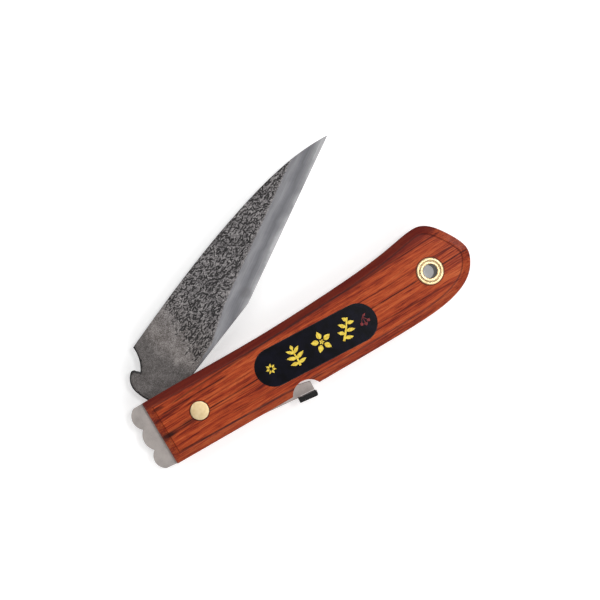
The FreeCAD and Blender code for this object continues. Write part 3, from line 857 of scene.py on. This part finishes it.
def ring_of_leaves(centre, count, start, inner, outer, width):
    """Leaves that point away from a centre."""
    shapes = []
    for k in range(count):
        a = start + 2 * math.pi * k / count
        way = Vector((math.cos(a), math.sin(a)))
        shapes.append(leaf(Vector(centre) + way * inner, Vector(centre) + way * outer, width))
    return shapes


def twig():
    """Upright stem with three pairs of leaves and a bud."""
    shapes = [stem([(0, -3.5), (0.15, -1.2), (-0.1, 1.0), (0, 2.6)], 0.75)]
    for sign in (-1, 1):
        shapes.append(leaf((0, -2.5), (sign * 2.9, -2.0), 1.2))
        shapes.append(leaf((0, -0.9), (sign * 3.1, 0.4), 1.3))
        shapes.append(leaf((0, 0.9), (sign * 2.3, 2.6), 1.15))
    shapes.append(leaf((0, 2.1), (0, 3.8), 1.1))
    return shapes


def blossom():
    """Five petals round a centre of five more."""
    petals = ring_of_leaves((0, 0), 5, math.pi / 2, 0.95, 3.6, 1.75)
    return petals + ring_of_leaves((0, 0), 5, math.pi * 0.3, 0.1, 0.95, 0.5)


def branch():
    """Leaning stem with leaves on alternate sides."""
    shapes = [stem([(-2.6, -3.2), (-1.2, -1.4), (0.2, 0.6), (1.8, 3.2)], 0.8)]
    for base, tip in (((-1.9, -2.4), (1.0, -3.2)), ((-1.1, -1.2), (-3.3, 0.2)),
                      ((-0.5, -0.5), (2.6, -1.2)), ((0.1, 0.5), (-2.0, 2.4)),
                      ((0.8, 1.5), (3.3, 1.1)), ((1.3, 2.2), (0.2, 3.8))):
        shapes.append(leaf(base, tip, 1.25))
    return shapes


def rosette():
    """Seven short petals round an open middle."""
    return ring_of_leaves((0, 0), 7, math.pi / 7, 0.45, 1.75, 0.72)


def berry(centre, radius, steps=16):
    """Round outline."""
    turns = (2 * math.pi * k / steps for k in range(steps))
    return [Vector(centre) + Vector((math.cos(a), math.sin(a))) * radius for a in turns]


def berries():
    """Three berries on short stalks under a leaf."""
    shapes = []
    for foot in ((-1.2, -1.0), (0.1, -1.5), (1.3, -0.8)):
        shapes.append(berry(foot, 0.55))
        shapes.append(stem([foot, (foot[0] * 0.5, 0.2), (0, 1.1)], 0.26))
    shapes.append(leaf((0, 1.0), (1.5, 1.7), 0.7))
    return shapes


def raised(name, outlines, place, height, material):
    """Thin shapes on the name plate with sloping sides and a low crown."""
    vertices, faces = [], []
    base = PLATE_MAX.z - ORNAMENT_SINK
    for outline in outlines:
        n = len(outline)
        middle = sum(outline, Vector((0, 0))) / n
        start = len(vertices)
        for share, z in ((1.0, base), (ORNAMENT_TOP, base + height)):
            ring = [middle + (p - middle) * share for p in outline]
            vertices.extend((place[0] + p.x, place[1] + p.y, z) for p in ring)
        crown = base + height * ORNAMENT_CROWN
        vertices.append((place[0] + middle.x, place[1] + middle.y, crown))
        for k in range(n):
            after = (k + 1) % n
            faces.append((start + k, start + after, start + n + after, start + n + k))
            faces.append((start + n + k, start + n + after, start + 2 * n))
        faces.append(tuple(range(start + n - 1, start - 1, -1)))
    piece = new_piece(name, vertices, faces, material, 30)
    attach(piece, "handle")


def build_ornament():
    """Gold sprigs and red berries in a row along the plate."""
    middle = (PLATE_MIN.y + PLATE_MAX.y) / 2
    # name, outlines, place along the plate, height, paint
    row = (
        ("ornament_rosette", rosette(), 5.2, 0.04, "gold"),
        ("ornament_twig", twig(), 14.1, 0.05, "gold"),
        ("ornament_blossom", blossom(), 23.6, 0.05, "gold"),
        ("ornament_branch", branch(), 32.6, 0.05, "gold"),
        ("ornament_berries", berries(), 38.8, 0.035, "red"),
    )
    for name, outlines, along, height, paint in row:
        raised(name, outlines, (PLATE_MIN.x + along, middle), height, MATERIALS[paint])


# ---- CAD nodes that keep their shape: material, and how far their sharp edges are broken ----

NODE_FINISH = {
    "handle_scale_front": ("wood", 0.0),
    "handle_scale_rear": ("wood", 0.0),
    "liner_front": ("liner", 0.12),
    "liner_rear": ("liner", 0.12),
    "back_spacer": ("liner", 0.08),
    "spacer_rivets": ("inner", 0.0),
    "pivot_washer_front": ("brass", 0.0),
    "pivot_washer_rear": ("brass", 0.0),
    "eyelet": ("eyelet", 0.0),
    "eyelet_collar": ("brass", 0.08),
    "name_plate": ("lacquer", 0.14),
    "lock_lever": ("lever", 0.16),
    "lever_pin": ("inner", 0.0),
    "lever_spring": ("inner", 0.04),
}
PLANAR_ANGLE = math.radians(0.5)    # triangles that differ by less are one flat face


def finish_node(node, material, edge_break):
    """Material for a CAD node, and a small bevel on its sharp edges."""
    node.data.materials.clear()
    node.data.materials.append(material)
    if edge_break:
        weld = node.modifiers.new("weld", "WELD")
        weld.merge_threshold = 1e-3 * MM
        planar = node.modifiers.new("planar", "DECIMATE")
        planar.decimate_type = "DISSOLVE"
        planar.angle_limit = PLANAR_ANGLE
        bevel = node.modifiers.new("edge_break", "BEVEL")
        bevel.width = edge_break * MM
        bevel.segments = 3
        bevel.limit_method = "ANGLE"
        bevel.angle_limit = math.radians(SHARP_ANGLE)


# ---- floor, light and camera ----

FLOOR_HALF = 2000
FLOOR_GAP = 0.02                    # between the floor and the handle's rear
SKY_FADE = (0.1, 0.75)              # upward part of the direction over which the sky dims
SKY_STRENGTHS = (0.95, 0.12)        # all round and overhead
CAMERA_HEIGHT = 560.0
CAMERA_ROLL = math.radians(-28.0)
VIEW_WIDTH = 192.0
# name, way from the view's centre, degrees from straight up, distance, size, share of the light
LIGHTS = (
    ("key", (0.3, -0.95), 38, 900, 760, 0.35),
    ("top_left", (-0.2, 0.98), 30, 900, 700, 0.23),
    ("right", (0.95, 0.3), 62, 800, 320, 0.11),
    ("overhead", (1.0, 0.0), 14, 900, 120, 0.20),
)


def build_floor():
    """Square floor just under the handle."""
    corners_xy = ((-1, -1), (1, -1), (1, 1), (-1, 1))
    vertices = [(x * FLOOR_HALF, y * FLOOR_HALF, -FLOOR_GAP) for x, y in corners_xy]
    new_piece("floor", vertices, [(0, 1, 2, 3)], pale_floor())


def build_sky():
    """Pale all round and dim overhead, so that gloss that faces up stays deep."""
    world = bpy.data.worlds.new("studio")
    world.use_nodes = True
    tree = world.node_tree
    direction = tree.nodes.new("ShaderNodeTexCoord")
    split = tree.nodes.new("ShaderNodeSeparateXYZ")
    fade = tree.nodes.new("ShaderNodeMapRange")
    fade.interpolation_type = "SMOOTHSTEP"
    for socket, value in zip(fade.inputs[1:], (*SKY_FADE, *SKY_STRENGTHS)):
        socket.default_value = value
    tree.links.new(direction.outputs["Generated"], split.inputs[0])
    tree.links.new(split.outputs["Z"], fade.inputs["Value"])
    tree.nodes["Background"].inputs["Color"].default_value = (1, 1, 1, 1)
    tree.links.new(fade.outputs[0], tree.nodes["Background"].inputs["Strength"])
    bpy.context.scene.world = world


def build_lamp(name, way, degrees, distance, size, share):
    """Round soft light that gives a level white surface a share of full brightness."""
    tilt = math.radians(degrees)
    target = Vector((*VIEW_CENTRE, 0)) * MM
    toward = Vector((way[0] * math.sin(tilt), way[1] * math.sin(tilt), math.cos(tilt)))
    lamp = bpy.data.lights.new(name, "AREA")
    lamp.shape = "DISK"
    lamp.size = size * MM
    lamp.energy = share * math.pi ** 2 * (distance * MM) ** 2 / math.cos(tilt)
    thing = bpy.data.objects.new(name, lamp)
    thing.location = target + toward * distance * MM
    thing.rotation_euler = (-toward).to_track_quat("-Z", "Y").to_euler()
    bpy.context.scene.collection.objects.link(thing)


def build_camera():
    """Straight above, turned so that the handle rises to the right."""
    data = bpy.data.cameras.new("camera")
    data.sensor_width = 36
    data.lens = data.sensor_width * (CAMERA_HEIGHT - HANDLE_TOP) / VIEW_WIDTH
    data.clip_start = 0.01
    camera = bpy.data.objects.new("camera", data)
    camera.location = Vector((*VIEW_CENTRE, CAMERA_HEIGHT)) * MM
    camera.rotation_euler = (0, 0, CAMERA_ROLL)
    bpy.context.scene.collection.objects.link(camera)
    bpy.context.scene.camera = camera
    bpy.context.scene.view_settings.view_transform = "Standard"


build_blade()
build_rivet()
build_ornament()
for node_name, (finish, edge_break) in NODE_FINISH.items():
    finish_node(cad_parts[node_name], MATERIALS[finish], edge_break)
build_floor()
build_sky()
for lamp_facts in LIGHTS:
    build_lamp(*lamp_facts)
build_camera()
